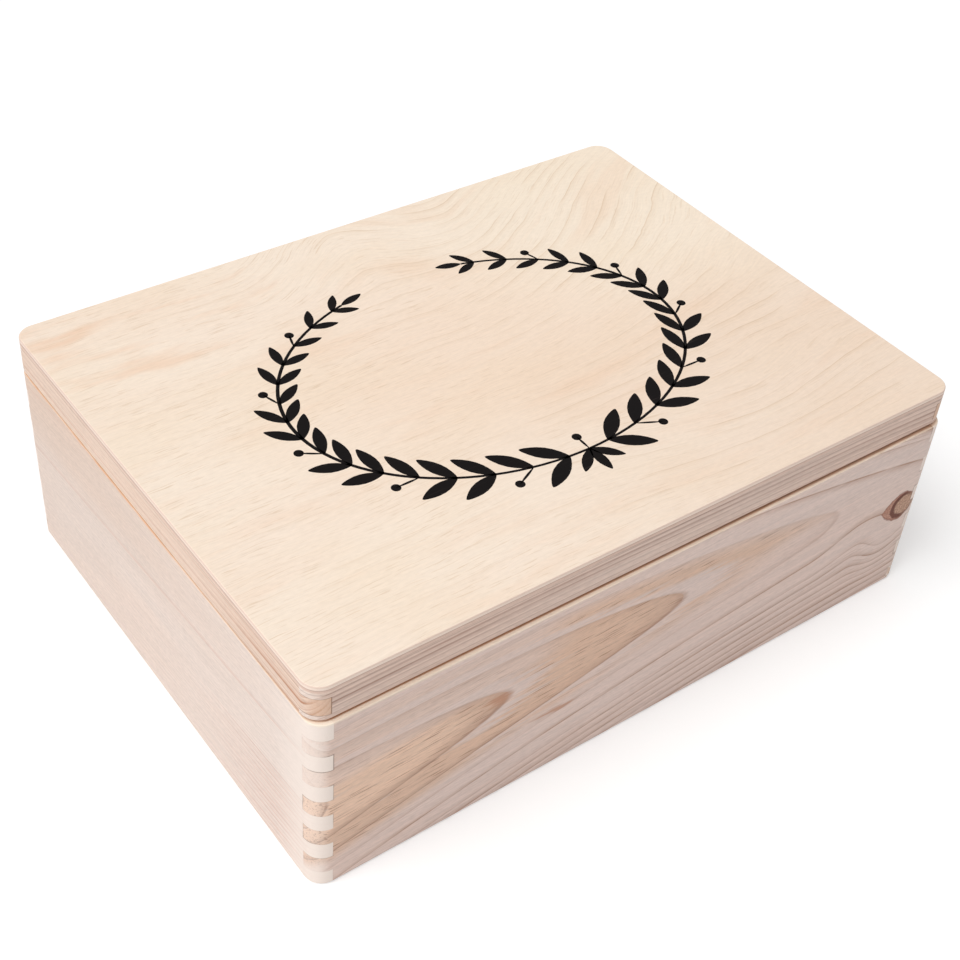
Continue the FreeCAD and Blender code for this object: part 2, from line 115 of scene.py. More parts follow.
# Colours of the finishes, and of the painted light and shade at the rim, the corners and the panel's edge.
SAPWOOD = rgb(230, 209, 199)
HEARTWOOD = rgb(226, 193, 170)
CORE_WOOD = rgb(239, 206, 182)
LATEWOOD = rgb(184, 148, 128)
WARM_CAST = rgb(255, 246, 241)
COOL_CAST = rgb(247, 251, 255)
PORE = rgb(150, 104, 80)
RESIN = rgb(194, 142, 114)
# Pale end tint, partly a painted highlight on the rounded corners.
END_GRAIN_AND_HIGHLIGHT = rgb(246, 232, 222)
SEAM_BROWN = rgb(120, 82, 58)
COLLAR_DARK = rgb(156, 98, 74)
COLLAR_PALE = rgb(190, 138, 114)
COLLAR_OUTLINE = rgb(140, 88, 70)
KNOT_EYE_DARK = rgb(162, 122, 102)
KNOT_EYE_PALE = rgb(204, 168, 144)
KNOT_BARK = rgb(98, 46, 30)
# Painted highlight on the ledge before the lid, and painted orange shade under the lid.
LEDGE_HIGHLIGHT = rgb(252, 236, 212)
GAP_SHADE = rgb(230, 188, 150)
# Painted shade: a brown line along the lid's front edge.
GAP_SHADE_LINE_LEFT = rgb(196, 128, 66)
GAP_SHADE_LINE_RIGHT = rgb(160, 104, 64)
# Painted shade: orange in the gap along the left side.
GAP_ORANGE_SHADE = rgb(226, 166, 108)
VENEER_LIGHT = rgb(250, 233, 215)
VENEER_LINE = rgb(222, 194, 164)
VENEER_YELLOW = rgb(244, 220, 192)
VENEER_PINK = rgb(245, 214, 196)
VENEER_TAN = rgb(234, 208, 186)
VENEER_PEACH = rgb(243, 212, 186)
VENEER_CREAM = rgb(250, 236, 214)
SMEAR_PEACH = rgb(240, 200, 168)
PLY_CORE_DARK = rgb(206, 174, 156)
PLY_CORE_PALE = rgb(234, 208, 194)
PLY_EDGE = rgb(243, 222, 209)
# Painted shade on the panel's rounded upper edge.
PLY_ROUND_SHADE = rgb(212, 182, 164)
PLY_GLUE = rgb(160, 120, 102)
TARNISH = rgb(160, 120, 70)
INK_FULL = rgb(24, 21, 21)
INK_THIN = rgb(46, 40, 38)


class Graph:
    """A node tree, with one short call for each kind of node that the finishes use."""

    def __init__(self, tree):
        self.tree = tree

    def node(self, kind, **settings):
        made = self.tree.nodes.new(f"ShaderNode{kind}")
        for name, setting in settings.items():
            setattr(made, name, setting)
        return made

    def feed(self, socket, source):
        """Link a socket to another one, or set it to a plain value."""
        if isinstance(source, bpy.types.NodeSocket):
            self.tree.links.new(source, socket)
        else:
            socket.default_value = source

    def math(self, operation, first, second=0.0, third=0.0):
        made = self.node("Math", operation=operation)
        for socket, source in zip(made.inputs, (first, second, third)):
            self.feed(socket, source)
        return made.outputs[0]

    def product(self, *factors):
        result = factors[0]
        for factor in factors[1:]:
            result = self.math("MULTIPLY", result, factor)
        return result

    def total(self, *terms):
        result = terms[0]
        for term in terms[1:]:
            result = self.math("ADD", result, term)
        return result

    def rest(self, share):
        """What a share leaves of 1."""
        return self.math("SUBTRACT", 1.0, share)

    def ramp(self, source, low, high):
        """From 0 at low to 1 at high, smoothly. Low may be the larger one."""
        made = self.node("MapRange", interpolation_type="SMOOTHSTEP")
        for name, value in (("Value", source), ("From Min", low), ("From Max", high)):
            self.feed(made.inputs[name], value)
        return made.outputs["Result"]

    def band(self, source, centre, half_width, soft):
        """1 near a value, falling to 0 over a soft edge on both sides."""
        away = self.math("ABSOLUTE", self.math("SUBTRACT", source, centre))
        return self.ramp(away, half_width + soft, half_width)

    def mix(self, share, first, second, blend="MIX"):
        made = self.node("Mix", data_type="RGBA", blend_type=blend)
        for index, source in ((0, share), (6, first), (7, second)):
            self.feed(made.inputs[index], source)
        return made.outputs[2]

    def noise(self, vector, scale=1.0, detail=2.0, rough=0.5):
        made = self.node("TexNoise")
        for name, source in (("Vector", vector), ("Scale", scale), ("Detail", detail), ("Roughness", rough)):
            self.feed(made.inputs[name], source)
        return made.outputs[0]

    def noise_along(self, source, scale):
        """Noise that follows one number."""
        made = self.node("TexNoise", noise_dimensions="1D")
        self.feed(made.inputs["W"], source)
        self.feed(made.inputs["Scale"], scale)
        self.feed(made.inputs["Detail"], 0.0)
        return made.outputs[0]

    def chance(self, source):
        """One even random number from 0 to 1 for each whole number."""
        made = self.node("TexWhiteNoise", noise_dimensions="1D")
        self.feed(made.inputs["W"], source)
        return made.outputs["Value"]

    def stretch(self, vector, x, y, z):
        made = self.node("VectorMath", operation="MULTIPLY")
        self.feed(made.inputs[0], vector)
        self.feed(made.inputs[1], (x, y, z))
        return made.outputs[0]

    def split(self, vector):
        made = self.node("SeparateXYZ")
        self.feed(made.inputs[0], vector)
        return made.outputs[0], made.outputs[1], made.outputs[2]

    def join(self, x, y, z):
        made = self.node("CombineXYZ")
        for socket, source in zip(made.inputs, (x, y, z)):
            self.feed(socket, source)
        return made.outputs[0]

    def place(self, vector, centre, turn=(0.0, 0.0, 0.0)):
        """Coordinates about a centre, in a frame turned by three angles."""
        made = self.node("Mapping", vector_type="TEXTURE")
        self.feed(made.inputs["Vector"], vector)
        self.feed(made.inputs["Location"], centre)
        self.feed(made.inputs["Rotation"], turn)
        return made.outputs[0]

    def length(self, *parts):
        """Root of the sum of squares."""
        return self.math("SQRT", self.total(*[self.math("MULTIPLY", part, part) for part in parts]))

    def group(self, group, **given):
        """Place a node group. An underscore in a name stands for a space."""
        made = self.node("Group", node_tree=group)
        for name, source in given.items():
            self.feed(made.inputs[name.replace("_", " ")], source)
        return made.outputs


def new_group(name, inputs, outputs):
    """An empty node group, with its graph, its inputs and its outputs by name."""
    tree = bpy.data.node_groups.new(name, "ShaderNodeTree")
    for label, (kind, default) in inputs.items():
        socket = tree.interface.new_socket(label, in_out="INPUT", socket_type=kind)
        if default is not None:
            socket.default_value = default
    for label, kind in outputs.items():
        tree.interface.new_socket(label, in_out="OUTPUT", socket_type=kind)
    given = tree.nodes.new("NodeGroupInput").outputs
    result = tree.nodes.new("NodeGroupOutput").inputs
    return tree, Graph(tree), given, result


def pine_group():
    """Growth rings round a pith that runs along X, with heartwood flames, latewood lines and fibres.

    Sweep bows the pith, Taper narrows the rings along it, and Push moves them aside. Rings have the outer
    width from Outer Start on, and past Outer Reach along the pith only Outer Rest of their lines stays. Over
    the pith, Upper Line of the heart's lines stays, and left of Upper Fade Start, Upper Flame of its flames.
    Left of Lower Fill Start the flames under the pith fill their rings.
    """
    tree, graph, given, result = new_group(
        "pine figure",
        {
            "Log": (VECTOR, None),
            "Sweep": (NUMBER, 0.0),
            "Taper": (NUMBER, 0.0),
            "Push": (NUMBER, 0.0),
            "Wander": (NUMBER, 3 * MM),
            "Uneven": (NUMBER, 0.5),
            "Ring Width": (NUMBER, 9 * MM),
            "Outer Ring Width": (NUMBER, 3.3 * MM),
            "Outer Start": (NUMBER, 60 * MM),
            "Ring Phase": (NUMBER, 0.0),
            "Ring Seed": (NUMBER, 0.0),
            "Heart Radius": (NUMBER, 45 * MM),
            "Heart Fade": (NUMBER, 12 * MM),
            "Pale Core": (NUMBER, 1 * MM),
            "Heart Lean": (NUMBER, 0.0),
            "Upper Flame": (NUMBER, 1.0),
            "Upper Line": (NUMBER, 1.0),
            "Upper Fade Start": (NUMBER, 0.0),
            "Lower Fill Start": (NUMBER, -FAR_OFF),
            "Line Strength": (NUMBER, 0.8),
            "Outer Reach": (NUMBER, FAR_OFF),
            "Outer Rest": (NUMBER, 1.0),
            "Sapwood": (COLOUR, SAPWOOD),
            "Heartwood": (COLOUR, HEARTWOOD),
            "Core Wood": (COLOUR, CORE_WOOD),
            "Latewood": (COLOUR, LATEWOOD),
        },
        {"Color": COLOUR, "Roughness": NUMBER, "Height": NUMBER, "Flame": NUMBER},
    )
    log = given["Log"]
    along, across, up = graph.split(log)
    fibres = graph.ramp(graph.noise(graph.stretch(log, 14, 800, 800), detail=3), 0.30, 0.70)
    specks = graph.ramp(graph.noise(graph.stretch(log, 240, 1400, 1400), detail=2), 0.30, 0.70)
    streaks = graph.ramp(graph.noise(graph.stretch(log, 9, 260, 260), detail=3, rough=0.6), 0.25, 0.75)
    wave = graph.noise(graph.stretch(log, 5, 22, 22), detail=1)

    # Rings: distance from a bowed, tapered pith, counted in ring widths.
    bowed = graph.math("SUBTRACT", up, graph.product(given["Sweep"], along, along))
    wander = graph.product(given["Wander"], graph.math("SUBTRACT", wave, 0.5))
    cone = graph.total(graph.length(across, bowed), graph.product(along, given["Taper"]), wander)
    radius = graph.math("SUBTRACT", cone, given["Push"])
    inner_rate = graph.math("DIVIDE", 1.0, given["Ring Width"])
    outer_rate = graph.math("DIVIDE", 1.0, given["Outer Ring Width"])
    beyond = graph.math("MAXIMUM", graph.math("SUBTRACT", radius, given["Outer Start"]), 0.0)
    even_count = graph.total(
        graph.product(radius, inner_rate),
        graph.product(beyond, graph.math("SUBTRACT", outer_rate, inner_rate)),
        given["Ring Phase"],
    )
    unevenness = graph.math("SUBTRACT", graph.noise_along(even_count, 0.9), 0.5)
    count = graph.math("ADD", even_count, graph.product(unevenness, given["Uneven"]))
    phase = graph.math("FRACT", count)
    is_outer = graph.math("GREATER_THAN", beyond, 0.0)
    narrower = graph.math("SUBTRACT", given["Outer Ring Width"], given["Ring Width"])
    width = graph.math("ADD", given["Ring Width"], graph.product(is_outer, narrower))
    to_edge = graph.product(graph.rest(phase), width)
    past_edge = graph.product(phase, width)

    # Latewood: a thin line at each ring's outer edge, sharp outside and shaded inside, and in the outer
    # rings a faint one half way.
    over_pith = graph.ramp(bowed, -3 * MM, 8 * MM)
    heart_start = graph.math("ADD", given["Heart Radius"], graph.product(over_pith, given["Heart Lean"]))
    heart_end = graph.math("ADD", heart_start, given["Heart Fade"])
    near_heart = graph.ramp(radius, graph.math("ADD", heart_end, 4 * MM), heart_end)
    lost_line = graph.product(over_pith, near_heart, graph.rest(given["Upper Line"]))
    kept_line = graph.rest(lost_line)
    shade = graph.product(graph.ramp(to_edge, 3.2 * MM, 0.1 * MM), 0.50)
    crisp = graph.math("MAXIMUM", graph.ramp(to_edge, 0.9 * MM, 0.1 * MM),
                       graph.ramp(past_edge, 0.45 * MM, 0.0))
    character = graph.chance(graph.math("ADD", graph.math("ROUND", count), given["Ring Seed"]))
    least = graph.math("MULTIPLY_ADD", is_outer, 0.25, 0.3)
    weight = graph.product(graph.math("ADD", graph.product(character, 0.6), least),
                           graph.math("MULTIPLY_ADD", streaks, 0.8, 0.5), kept_line)
    half_phase = graph.math("FRACT", graph.math("ADD", count, 0.5))
    to_half = graph.product(graph.rest(half_phase), width)
    half_line = graph.product(graph.ramp(to_half, 0.9 * MM, 0.1 * MM), is_outer, streaks, 0.45)
    lines = graph.math("MAXIMUM", graph.product(graph.math("MAXIMUM", shade, crisp), weight), half_line)
    reach = given["Outer Reach"]
    past_reach = graph.ramp(along, graph.math("ADD", reach, -50 * MM), graph.math("ADD", reach, 50 * MM))
    lost_outer = graph.product(is_outer, past_reach, graph.rest(given["Outer Rest"]))
    late = graph.product(lines, given["Line Strength"], graph.rest(lost_outer))

    # Heartwood: tan from a ragged start to the edge of each ring near the pith, and lighter in the core.
    in_heart = graph.ramp(radius, heart_end, heart_start)
    ragged = graph.total(graph.product(streaks, 0.35), graph.product(fibres, 0.25), -0.30)
    fill_start = given["Lower Fill Start"]
    filled = graph.product(graph.ramp(along, graph.math("ADD", fill_start, 30 * MM), fill_start),
                           graph.ramp(bowed, -2 * MM, -10 * MM))
    core_end = given["Pale Core"]
    core = graph.ramp(radius, core_end, graph.product(core_end, 0.80))
    ragged_phase = graph.total(phase, ragged, graph.product(graph.math("MAXIMUM", filled, core), 0.40))
    fade_start = given["Upper Fade Start"]
    faded = graph.ramp(along, graph.math("ADD", fade_start, 20 * MM),
                       graph.math("ADD", fade_start, -20 * MM))
    lost_flame = graph.product(graph.ramp(bowed, 6 * MM, 16 * MM), faded,
                               graph.rest(given["Upper Flame"]))
    kept_flame = graph.rest(lost_flame)
    flame = graph.product(graph.ramp(ragged_phase, 0.12, 0.40), in_heart, kept_flame)

    pores = graph.ramp(graph.noise(graph.stretch(log, 48, 1500, 1500), detail=1), 0.60, 0.68)
    blotch = graph.noise(graph.stretch(log, 6, 30, 30), detail=2)
    heart = graph.mix(core, given["Heartwood"], given["Core Wood"])
    colour = graph.mix(flame, given["Sapwood"], heart)
    colour = graph.mix(late, colour, given["Latewood"])
    pore_share = graph.product(pores, graph.math("MULTIPLY_ADD", flame, 0.55, 0.08))
    colour = graph.mix(pore_share, colour, PORE)
    warm = graph.mix(blotch, WARM_CAST, COOL_CAST)
    colour = graph.mix(0.7, colour, warm, blend="MULTIPLY")
    tone = graph.total(0.90, graph.product(fibres, 0.10), graph.product(specks, 0.11))
    colour = graph.mix(1.0, colour, tone, blend="MULTIPLY")

    graph.feed(result["Color"], colour)
    roughness = graph.total(0.58, graph.product(fibres, 0.10), graph.product(late, -0.06))
    graph.feed(result["Roughness"], roughness)
    relief = graph.total(graph.product(fibres, 0.3), graph.product(specks, 0.15), graph.product(late, 0.35))
    graph.feed(result["Height"], graph.math("SUBTRACT", relief, graph.product(pores, 0.6)))
    graph.feed(result["Flame"], flame)
    return tree


def knot_group():
    """A branch that comes through a board along Y, with a pointed collar of wood on its left."""
    tree, graph, given, result = new_group(
        "knot",
        {"Place": (VECTOR, None), "Size": (NUMBER, 9 * MM)},
        {"Push": NUMBER, "Collar": NUMBER, "Outline": NUMBER, "Eye": NUMBER, "Rim": NUMBER, "Grain": NUMBER},
    )
    x, _, z = graph.split(given["Place"])
    rough = graph.math("SUBTRACT", graph.noise(given["Place"], 240, detail=3), 0.5)
    across = graph.math("DIVIDE", x, given["Size"])
    up = graph.math("DIVIDE", z, given["Size"])

    # Rings below the knot are pushed one way and those on its left the other.
    dip = graph.ramp(graph.length(graph.math("ADD", across, 1.0), graph.math("ADD", up, 3.2)), 3.2, 0.0)
    rise = graph.ramp(graph.length(graph.math("ADD", across, 3.6), graph.math("ADD", up, 0.3)), 4.4, 0.0)
    push = graph.math("SUBTRACT", graph.product(dip, 0.75), graph.product(rise, 0.5))
    graph.feed(result["Push"], graph.product(push, given["Size"]))

    # The collar is a lens with its point on the left, and the eye is round with a dark rim of bark.
    leftward = graph.math("MAXIMUM", graph.math("MULTIPLY", across, -1.0), 0.0)
    rightward = graph.math("MAXIMUM", across, 0.0)
    lens = graph.total(
        graph.math("DIVIDE", graph.math("ABSOLUTE", up), 1.12),
        graph.math("POWER", graph.math("DIVIDE", leftward, 1.85), 2.2),
        graph.math("POWER", rightward, 2.0),
        graph.product(rough, 0.35),
    )
    graph.feed(result["Collar"], graph.ramp(lens, 1.03, 0.93))
    graph.feed(result["Outline"], graph.band(lens, 0.97, 0.02, 0.09))

    eye = graph.math("MULTIPLY_ADD", rough, 0.28, graph.length(across, up))
    rim_start = graph.math("MULTIPLY_ADD", across, 0.13, 0.67)
    rim_in = graph.ramp(eye, rim_start, graph.math("ADD", rim_start, 0.14))
    graph.feed(result["Eye"], graph.ramp(eye, 1.03, 0.95))
    one_sided = graph.math("MULTIPLY_ADD", graph.ramp(across, 0.75, -0.10), 0.50, 0.50)
    graph.feed(result["Rim"], graph.product(rim_in, graph.ramp(eye, 1.10, 0.97), one_sided))
    graph.feed(result["Grain"], graph.ramp(graph.noise(given["Place"], 900, detail=3), 0.35, 0.65))
    return tree


def streak_group():
    """A ragged spot of resin in the face of a board, drawn out along X."""
    tree, graph, given, result = new_group(
        "resin streak",
        {"Place": (VECTOR, None), "Half Length": (NUMBER, 10 * MM), "Half Height": (NUMBER, 2 * MM)},
        {"Streak": NUMBER},
    )
    x, _, z = graph.split(given["Place"])
    across = graph.math("DIVIDE", x, given["Half Length"])
    up = graph.math("DIVIDE", z, given["Half Height"])
    ragged = graph.math("SUBTRACT", graph.noise(graph.stretch(given["Place"], 70, 700, 700), detail=2), 0.5)
    away = graph.math("MULTIPLY_ADD", ragged, 2.2, graph.length(across, up))
    graph.feed(result["Streak"], graph.ramp(away, 1.10, 0.30))
    return tree


def finger_seam_group():
    """The body's finger joints by place: glue lines, and where fingers turn their ends out in X or in Y."""
    tree, graph, given, result = new_group(
        "finger seams", {"Vector": (VECTOR, None)}, {"Seam": NUMBER, "End X": NUMBER, "End Y": NUMBER})
    x, y, z = graph.split(given["Vector"])
    side = graph.math("ABSOLUTE", x)
    end = graph.math("ABSOLUTE", y)
    inner_x = HALF_LENGTH - BOARD
    inner_y = HALF_DEPTH - BOARD
    at_side = graph.math("GREATER_THAN", side, inner_x - JOINT_MARGIN)
    at_end = graph.math("GREATER_THAN", end, inner_y - JOINT_MARGIN)
    row = graph.math("DIVIDE", graph.math("MINIMUM", z, RIM - 0.1 * MM), FINGER)
    finger = graph.math("FLOOR", row)
    odd = graph.math("MODULO", finger, 2.0)
    off_level = graph.product(graph.math("PINGPONG", row, 0.5), FINGER)
    off_edges = graph.band(z, RIM / 2, RIM / 2 - 1 * MM, 0.5 * MM)
    level = graph.product(graph.ramp(off_level, 0.35 * MM, 0.10 * MM), at_side, at_end, off_edges)
    upright_front = graph.product(graph.band(side, inner_x, 0.08 * MM, 0.22 * MM), at_end,
                                  graph.rest(odd))
    upright_side = graph.product(graph.band(end, inner_y, 0.08 * MM, 0.22 * MM), at_side, odd)
    seam = graph.math("MAXIMUM", level, graph.math("MAXIMUM", upright_front, upright_side))
    patchy = graph.ramp(graph.noise(given["Vector"], 62, detail=1), 0.46, 0.62)
    graph.feed(result["Seam"], graph.product(seam, graph.math("MULTIPLY_ADD", patchy, 0.90, 0.10)))
    end_x = graph.ramp(side, inner_x + 0.5 * MM, HALF_LENGTH - 3 * MM)
    end_y = graph.ramp(end, inner_y + 0.5 * MM, HALF_DEPTH - 3 * MM)
    graph.feed(result["End X"], graph.product(end_x, at_end))
    graph.feed(result["End Y"], graph.product(end_y, at_side))
    return tree


def tongue_seam_group():
    """The lid frame's corners by place: glue lines, and where rails turn their ends out in X or in Y."""
    tree, graph, given, result = new_group(
        "tongue seams", {"Vector": (VECTOR, None)}, {"Seam": NUMBER, "End X": NUMBER, "End Y": NUMBER})
    x, y, z = graph.split(given["Vector"])
    side = graph.math("ABSOLUTE", x)
    inner_x = HALF_LENGTH - BOARD
    at_side = graph.math("GREATER_THAN", side, inner_x - JOINT_MARGIN)
    from_middle = graph.math("ABSOLUTE", graph.math("SUBTRACT", y, (PANEL_LOW.y + PANEL_HIGH.y) / 2))
    inner_y = (PANEL_HIGH.y - PANEL_LOW.y) / 2 - BOARD
    at_end = graph.math("GREATER_THAN", from_middle, inner_y - JOINT_MARGIN)
    in_tongue = graph.band(z, (TONGUE_LOW + TONGUE_HIGH) / 2, (TONGUE_HIGH - TONGUE_LOW) / 2, 0.1 * MM)
    levels = graph.math("MAXIMUM", graph.band(z, TONGUE_LOW, 0.08 * MM, 0.2 * MM),
                        graph.band(z, TONGUE_HIGH, 0.08 * MM, 0.2 * MM))
    upright = graph.product(graph.band(side, inner_x, 0.12 * MM, 0.25 * MM), at_end, in_tongue)
    grain_line = graph.product(graph.band(z, PANEL_LOW.z - 1.3 * MM, 0.1 * MM, 0.25 * MM), 0.5)
    patchy = graph.ramp(graph.noise(given["Vector"], 90, detail=1), 0.30, 0.58)
    level = graph.product(levels, at_side, at_end, patchy)
    seam = graph.math("MAXIMUM", graph.math("MAXIMUM", level, upright), grain_line)
    graph.feed(result["Seam"], seam)
    end_x = graph.ramp(side, inner_x + 2 * MM, HALF_LENGTH - 1 * MM)
    end_y = graph.ramp(from_middle, inner_y + 2 * MM, inner_y + BOARD - 1 * MM)
    graph.feed(result["End X"], graph.product(end_x, at_end))
    graph.feed(result["End Y"], graph.product(end_y, at_side))
    return tree


def rim_light_group():
    """Painted light and shade on the rim and the gap over it: a cream highlight on the ledge before the lid,
    a brown shade line along the lid's edge, and orange shade elsewhere.
    """
    tree, graph, given, result = new_group(
        "rim light and shade", {"Vector": (VECTOR, None)}, {"Color": COLOUR, "Share": NUMBER})
    x, y, z = graph.split(given["Vector"])
    side = graph.math("ABSOLUTE", x)

    # The lid covers the rim where the reach is under its corner radius. The reach slants a little along X.
    past_side = graph.math("MAXIMUM", graph.math("SUBTRACT", side, HALF_LENGTH - CORNER), 0.0)
    past_front = graph.math("MAXIMUM", graph.math("SUBTRACT", PANEL_LOW.y + CORNER, y), 0.0)
    reach = graph.math("MULTIPLY_ADD", x, -2.8 * MM, graph.length(past_side, past_front))
    covered = graph.ramp(reach, CORNER + 0.9 * MM, CORNER - 0.4 * MM)
    # Painted shade: a brown line along the lid's front edge, kept off the corners.
    at_front = graph.ramp(y, CORNER - HALF_DEPTH, CORNER / 2 - HALF_DEPTH)
    off_corners = graph.ramp(side, HALF_LENGTH - 0.4 * CORNER, HALF_LENGTH - 1.2 * CORNER)
    gap_shade_line = graph.product(graph.band(reach, CORNER - 0.6 * MM, 0.5 * MM, 0.9 * MM), at_front, off_corners)
    brown = graph.mix(graph.ramp(x, -0.14, 0.10), GAP_SHADE_LINE_LEFT, GAP_SHADE_LINE_RIGHT)
    # Painted highlight on the open ledge, painted orange shade where the lid covers the rim.
    colour = graph.mix(covered, LEDGE_HIGHLIGHT, GAP_SHADE)
    colour = graph.mix(graph.product(gap_shade_line, 0.75), colour, brown)

    # Painted shade: along the back half of the left side the gap is orange, more in some places than in
    # others.
    at_left = graph.ramp(x, 3 * MM - HALF_LENGTH, 1 * MM - HALF_LENGTH)
    patchy = graph.ramp(graph.noise(given["Vector"], 34, detail=2), 0.38, 0.60)
    uneven = graph.math("MULTIPLY_ADD", patchy, 0.6, 0.4)
    left_back = graph.product(at_left, graph.ramp(y, -0.09, -0.02), uneven)
    graph.feed(result["Color"], graph.mix(graph.product(left_back, 0.85), colour, GAP_ORANGE_SHADE))

    # The painted light and shade runs a little way past the gap, onto the boards' tops and the rails' lower
    # edges, furthest at the front left and at the back of the left side.
    front_left = graph.product(at_front, graph.ramp(x, 0.02, -0.16))
    past_rim = graph.total(0.4 * MM, graph.product(front_left, 1.2 * MM),
                           graph.product(left_back, 0.9 * MM))
    past_lid = graph.math("MULTIPLY_ADD", left_back, 0.7 * MM, 0.4 * MM)
    over_rim = graph.ramp(z, graph.math("SUBTRACT", RIM, past_rim), RIM)
    under_lid = graph.ramp(z, graph.math("ADD", past_lid, LID_LOW), LID_LOW)
    strength = graph.total(0.6, graph.product(gap_shade_line, 0.15), graph.product(left_back, 0.1))
    graph.feed(result["Share"], graph.product(over_rim, under_lid, strength))
    return tree


def veneer_group():
    """Peeled face veneer, its grain along X: bowed lines, short flecks, peach smears and soft patches."""
    tree, graph, given, result = new_group(
        "face veneer",
        {"Vector": (VECTOR, None), "Light": (COLOUR, VENEER_LIGHT), "Line": (COLOUR, VENEER_LINE)},
        {"Color": COLOUR, "Roughness": NUMBER, "Height": NUMBER},
    )
    vector = given["Vector"]
    x, y, _ = graph.split(vector)
    eye_x = graph.math("DIVIDE", graph.math("SUBTRACT", x, EYE_X), EYE_HALF_LENGTH)
    eye_y = graph.math("DIVIDE", graph.math("SUBTRACT", y, EYE_Y), EYE_HALF_DEPTH)
    eye = graph.ramp(graph.length(eye_x, eye_y), 2.2, 0.0)
    lift = graph.product(graph.ramp(x, 0.0, 0.26), graph.ramp(y, -0.09, 0.14))
    peak_x = graph.math("DIVIDE", graph.math("SUBTRACT", x, PEAK_X), PEAK_HALF_WIDTH)
    peak = graph.product(graph.ramp(graph.math("ABSOLUTE", peak_x), 1.6, 0.0), graph.ramp(y, 0.05, 0.15))
    drift = graph.noise(graph.stretch(vector, 5, 14, 0), detail=2)
    ripple = graph.noise(graph.stretch(vector, 34, 60, 0), detail=2)
    level = graph.total(
        y,
        graph.product(eye, 0.018),
        graph.product(lift, -0.11),
        graph.product(peak, -0.040),
        graph.product(graph.math("SUBTRACT", drift, 0.5), 0.013),
        graph.product(graph.math("SUBTRACT", ripple, 0.5), 0.003),
    )

    # Lines follow the level. Flecks and hairs are drawn out along them.
    count = graph.math("DIVIDE", level, VENEER_LINE_SPACE)
    phase = graph.math("FRACT", count)
    character = graph.chance(graph.math("FLOOR", count))
    break_place = graph.join(graph.product(x, 24.0), graph.product(level, 60.0), 3.0)
    broken = graph.ramp(graph.noise(break_place), 0.36, 0.58)
    right_half = graph.ramp(x, -0.06, 0.08)
    line_weight = graph.product(graph.math("MULTIPLY_ADD", character, 0.7, 0.2),
                                graph.math("MULTIPLY_ADD", right_half, 0.6, 0.4), broken)
    thin_line = graph.product(graph.ramp(phase, 0.88, 0.96), graph.ramp(phase, 1.0, 0.975))
    soft_line = graph.product(graph.ramp(phase, 0.45, 0.96), graph.ramp(phase, 1.0, 0.97), 0.35)
    line = graph.product(graph.math("MAXIMUM", thin_line, soft_line), line_weight)
    fleck_place = graph.join(graph.product(x, 60.0), graph.product(level, 1250.0), 0.0)
    flecks = graph.ramp(graph.noise(fleck_place, detail=2, rough=0.55), 0.58, 0.68)
    fleck_zone = graph.ramp(graph.noise(graph.stretch(vector, 12, 26, 0), detail=1), 0.28, 0.56)
    hair_place = graph.join(graph.product(x, 60.0), graph.product(level, 1700.0), 0.0)
    hair = graph.ramp(graph.noise(hair_place, detail=2), 0.28, 0.72)
    shimmer = graph.ramp(graph.noise(graph.stretch(vector, 260, 520, 0), detail=2), 0.28, 0.72)

    # Soft colour: long peach smears, strongest at the back left, and wide yellow and pink patches.
    smear_place = graph.join(graph.product(x, 9.0), graph.product(level, 44.0), 7.0)
    smears = graph.ramp(graph.noise(smear_place, detail=3, rough=0.6), 0.50, 0.72)
    back_left = graph.product(graph.ramp(x, 0.02, -0.08), graph.ramp(y, 0.03, 0.12))
    smear_weight = graph.math("MULTIPLY_ADD", back_left, 0.40, 0.22)
    patch = graph.ramp(graph.noise(graph.stretch(vector, 9, 16, 0), detail=3), 0.36, 0.68)
    pink = graph.ramp(graph.noise(graph.stretch(vector, 6, 20, 5), detail=2), 0.42, 0.66)

    colour = graph.mix(graph.product(patch, 0.35), given["Light"], VENEER_YELLOW)
    colour = graph.mix(graph.product(pink, 0.12), colour, VENEER_PINK)
    front_right = graph.product(graph.ramp(x, -0.15, 0.20), graph.ramp(y, 0.06, -0.08))
    colour = graph.mix(graph.product(front_right, 0.45), colour, VENEER_TAN)
    from_middle = graph.length(graph.math("DIVIDE", x, 0.16), graph.math("DIVIDE", y, 0.09))
    colour = graph.mix(graph.product(graph.ramp(from_middle, 1.2, 0.2), 0.35), colour, VENEER_PEACH)
    back_right = graph.product(graph.ramp(x, 0.0, 0.12), graph.ramp(y, -0.02, 0.07))
    colour = graph.mix(graph.product(back_right, 0.45), colour, VENEER_CREAM)
    colour = graph.mix(graph.product(smears, smear_weight), colour, SMEAR_PEACH)
    colour = graph.mix(graph.product(line, 0.95), colour, given["Line"])
    fleck_weight = graph.math("MULTIPLY_ADD", right_half, -0.24, 0.52)
    colour = graph.mix(graph.product(flecks, fleck_zone, fleck_weight), colour, given["Line"])
    tone = graph.total(0.955, graph.product(hair, 0.050), graph.product(shimmer, 0.040))
    colour = graph.mix(1.0, colour, tone, blend="MULTIPLY")
    graph.feed(result["Color"], colour)
    graph.feed(result["Roughness"], graph.math("MULTIPLY_ADD", hair, 0.10, 0.54))
    height = graph.math("SUBTRACT", graph.product(hair, 0.4), graph.product(flecks, 0.6))
    graph.feed(result["Height"], height)
    return tree


